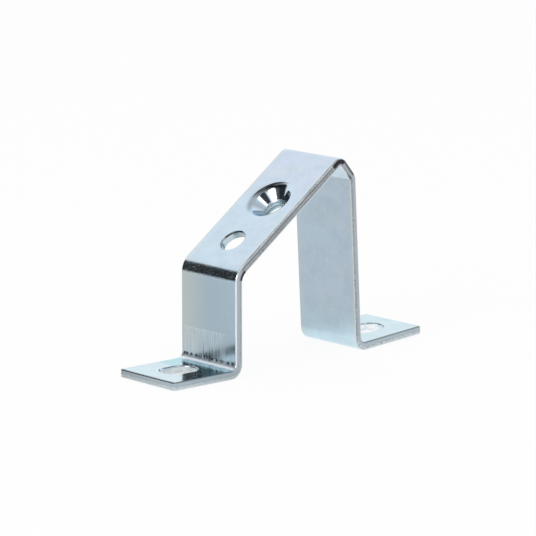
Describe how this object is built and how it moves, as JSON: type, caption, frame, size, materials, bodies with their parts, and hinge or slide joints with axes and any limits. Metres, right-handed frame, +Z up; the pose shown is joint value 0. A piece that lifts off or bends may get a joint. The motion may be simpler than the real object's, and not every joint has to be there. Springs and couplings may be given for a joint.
{
  "type": "rail bracket",
  "caption": "Folded steel strip bracket with slotted feet and legs of unequal height, and a sloping top with a plain hole and a countersunk threaded hole.",
  "frame": {"origin": "on the ground, in the middle of the length and of the width", "axes": "+X along the length from the short leg's foot to the tall leg's foot, +Y across the strip, +Z up"},
  "size_m": [0.0828, 0.02, 0.0496],
  "materials": {
    "zinc_steel": "bright zinc plate with a pale blue passivation, semi-mirror, with tool marks at the folds"
  },
  "bodies": {
    "root": {"bracket": "zinc_steel"}
  },
  "joints": []
}
